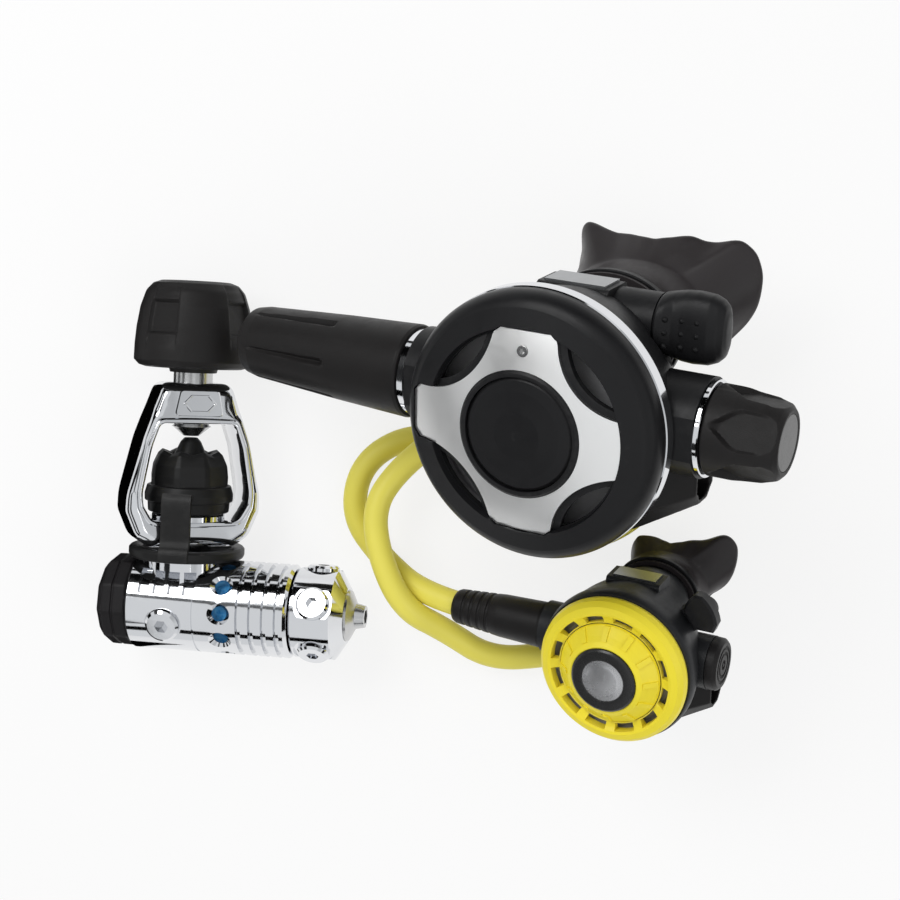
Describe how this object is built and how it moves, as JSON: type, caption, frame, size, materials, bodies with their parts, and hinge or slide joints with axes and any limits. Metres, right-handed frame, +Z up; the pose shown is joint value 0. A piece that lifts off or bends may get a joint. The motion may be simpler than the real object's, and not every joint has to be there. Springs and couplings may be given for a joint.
{
  "type": "scuba regulator set",
  "caption": "Scuba regulator set: piston first stage with yoke clamp, round-cover primary second stage, smaller octopus second stage and its yellow low-pressure hose.",
  "frame": {"origin": "centre of the bottom of the three regulator items' common box, on the surface that they lie on, without the hose", "axes": "+X from the first stage towards the second stages, +Y from the first stage body along its yoke towards the knob, +Z up"},
  "size_m": [0.2608, 0.1802, 0.1292],
  "materials": {
    "chrome": "mirror-polished chrome on brass",
    "satin_steel": "brushed steel plate",
    "steel": "turned steel",
    "brass": "turned brass",
    "black_rubber": "matte black rubber",
    "black_plastic": "satin black moulded plastic",
    "black_gloss": "glossy black moulded plastic",
    "grey_plastic": "dark grey moulded plastic",
    "yellow_plastic": "glossy yellow moulded plastic",
    "yellow_rubber": "yellow hose cover",
    "silicone": "soft black silicone",
    "badge": "bare metal badge",
    "clear_silicone": "thin moulded silicone"
  },
  "bodies": {
    "set": {"fs_body": "chrome", "fs_end_boot": "black_rubber", "fs_seat_adjuster": "brass", "fs_inlet_seat": "black_plastic", "fs_main_spring": "steel", "fs_spring_sleeve": "black_plastic", "fs_turret_bolt": "chrome", "fs_gauge_plugs": "chrome", "fs_yoke_nut": "chrome", "fs_inlet_filter": "brass", "fs_filter_clip": "steel", "fs_yoke": "chrome", "fs_cap_strap": "black_rubber", "ps_case": "black_plastic", "ps_cover_ring": "black_plastic", "ps_chrome_band": "chrome", "ps_front_plate": "satin_steel", "ps_plate_screw": "steel", "ps_purge_spring": "steel", "ps_barrel": "brass", "ps_chrome_rings": "chrome", "ps_poppet_spring": "steel", "ps_hose_protector": "black_rubber", "ps_mouthpiece": "silicone", "ps_exhaust_tee": "black_rubber", "os_case": "grey_plastic", "os_cover_ring": "yellow_plastic", "os_barrel": "brass", "os_hose_protector": "black_rubber", "os_end_cap": "black_rubber", "os_mouthpiece": "silicone", "os_exhaust_tee": "black_rubber", "mouthpiece_ties": "black_plastic", "case_badges": "badge", "exhaust_valves": "clear_silicone", "inlet_couplings": "chrome", "orifices": "brass", "lp_hose": "yellow_rubber", "hose_fitting": "chrome"},
    "turret": {"fs_turret": "chrome", "fs_lp_plugs": "chrome"},
    "piston": {"fs_piston": "brass"},
    "yoke_screw": {"fs_yoke_screw": "chrome"},
    "yoke_knob": {"fs_yoke_knob": "black_rubber", "fs_knob_badge": "black_plastic"},
    "dust_cap": {"fs_dust_cap": "black_plastic"},
    "primary_button": {"ps_purge_button": "satin_steel"},
    "primary_diaphragm": {"ps_diaphragm": "clear_silicone"},
    "primary_lever": {"ps_demand_lever": "steel"},
    "primary_poppet": {"ps_poppet": "black_plastic"},
    "primary_adjust_knob": {"ps_adjust_knob": "black_plastic", "ps_knob_badge": "black_gloss"},
    "primary_adjust_screw": {"ps_adjust_screw": "brass"},
    "primary_venturi": {"ps_venturi_lever": "black_plastic"},
    "octopus_button": {"os_purge_disc": "yellow_plastic", "os_purge_badge": "badge"},
    "octopus_diaphragm": {"os_diaphragm": "clear_silicone"},
    "octopus_lever": {"os_demand_lever": "steel"},
    "octopus_poppet": {"os_poppet": "black_plastic"},
    "octopus_venturi": {"os_venturi_lever": "black_plastic"}
  },
  "joints": [
    {"name": "turret_swivel", "type": "hinge", "parent": "set", "child": "turret", "pos_m": [-0.04377, -0.05388, 0.02223], "axis": [0.9987, -0.0506, 0], "continuous": true},
    {"name": "piston_slide", "type": "slide", "parent": "set", "child": "piston", "axis": [-0.9987, 0.0506, 0], "range_m": [0, 0.001], "stiffness_N_per_m": 3000, "springref_m": -0.002, "deforming": ["fs_main_spring"]},
    {"name": "yoke_screw_slide", "type": "slide", "parent": "set", "child": "yoke_screw", "axis": [0.0506, 0.9987, 0.0087], "range_m": [0, 0.00763]},
    {"name": "yoke_knob_turn", "type": "hinge", "parent": "yoke_screw", "child": "yoke_knob", "pos_m": [-0.09319, 0.05776, 0.02318], "axis": [0.0506, 0.9987, 0.0087], "range_deg": [0, 2160]},
    {"name": "dust_cap_lift", "type": "slide", "parent": "set", "child": "dust_cap", "axis": [0.0506, 0.9987, 0.0087], "range_m": [0, 0.00458]},
    {"name": "primary_purge_press", "type": "slide", "parent": "set", "child": "primary_button", "axis": [0.3724, 0.2562, -0.892], "range_m": [0, 0.002], "stiffness_N_per_m": 900, "springref_m": -0.001, "deforming": ["ps_purge_spring"]},
    {"name": "primary_diaphragm_slide", "type": "slide", "parent": "set", "child": "primary_diaphragm", "axis": [0.3724, 0.2562, -0.892], "range_m": [0, 0.00201]},
    {"name": "primary_lever_tilt", "type": "hinge", "parent": "set", "child": "primary_lever", "pos_m": [0.06462, 0.02696, 0.09762], "axis": [-0.0569, -0.9531, -0.2974], "range_deg": [0, 12.01]},
    {"name": "primary_poppet_slide", "type": "slide", "parent": "set", "child": "primary_poppet", "axis": [0.9263, -0.1615, 0.3404], "range_m": [0, 0.00081], "deforming": ["ps_poppet_spring"]},
    {"name": "primary_adjust_turn", "type": "hinge", "parent": "set", "child": "primary_adjust_knob", "pos_m": [0.11484, 0.02077, 0.10785], "axis": [-0.9263, 0.1615, -0.3404], "range_deg": [0, 1080]},
    {"name": "primary_adjust_slide", "type": "slide", "parent": "set", "child": "primary_adjust_screw", "axis": [-0.9263, 0.1615, -0.3404], "range_m": [0, 0.00301]},
    {"name": "primary_venturi_swing", "type": "hinge", "parent": "set", "child": "primary_venturi", "pos_m": [0.0987, 0.05495, 0.09455], "axis": [0.9263, -0.1615, 0.3404], "range_deg": [-35, 20]},
    {"name": "octopus_purge_press", "type": "slide", "parent": "set", "child": "octopus_button", "axis": [0.3486, 0.2629, -0.8996], "range_m": [0, 0.002], "stiffness_N_per_m": 900, "springref_m": -0.0008},
    {"name": "octopus_diaphragm_slide", "type": "slide", "parent": "set", "child": "octopus_diaphragm", "axis": [0.3486, 0.2629, -0.8996], "range_m": [0, 0.00201]},
    {"name": "octopus_lever_tilt", "type": "hinge", "parent": "set", "child": "octopus_lever", "pos_m": [0.08356, -0.06081, 0.05367], "axis": [-0.025, -0.9569, -0.2894], "range_deg": [0, 12.01]},
    {"name": "octopus_poppet_slide", "type": "slide", "parent": "set", "child": "octopus_poppet", "axis": [0.9369, -0.1233, 0.3271], "range_m": [0, 0.00061]},
    {"name": "octopus_venturi_swing", "type": "hinge", "parent": "set", "child": "octopus_venturi", "pos_m": [0.10023, -0.04384, 0.0652], "axis": [-0.3486, -0.2629, 0.8996], "range_deg": [-40, 40]}
  ],
  "couplings": [
    {"joint": "yoke_screw_slide", "follows": "yoke_knob_turn", "m_per_rad": 0.00020213},
    {"joint": "dust_cap_lift", "follows": "yoke_knob_turn", "m_per_rad": 0.00012128},
    {"joint": "primary_diaphragm_slide", "follows": "primary_purge_press", "ratio": 1},
    {"joint": "primary_lever_tilt", "follows": "primary_purge_press", "rad_per_m": 104.72},
    {"joint": "primary_poppet_slide", "follows": "primary_purge_press", "ratio": 0.4},
    {"joint": "primary_adjust_slide", "follows": "primary_adjust_turn", "m_per_rad": 0.00015915},
    {"joint": "octopus_diaphragm_slide", "follows": "octopus_purge_press", "ratio": 1},
    {"joint": "octopus_lever_tilt", "follows": "octopus_purge_press", "rad_per_m": 104.72},
    {"joint": "octopus_poppet_slide", "follows": "octopus_purge_press", "ratio": 0.3}
  ]
}
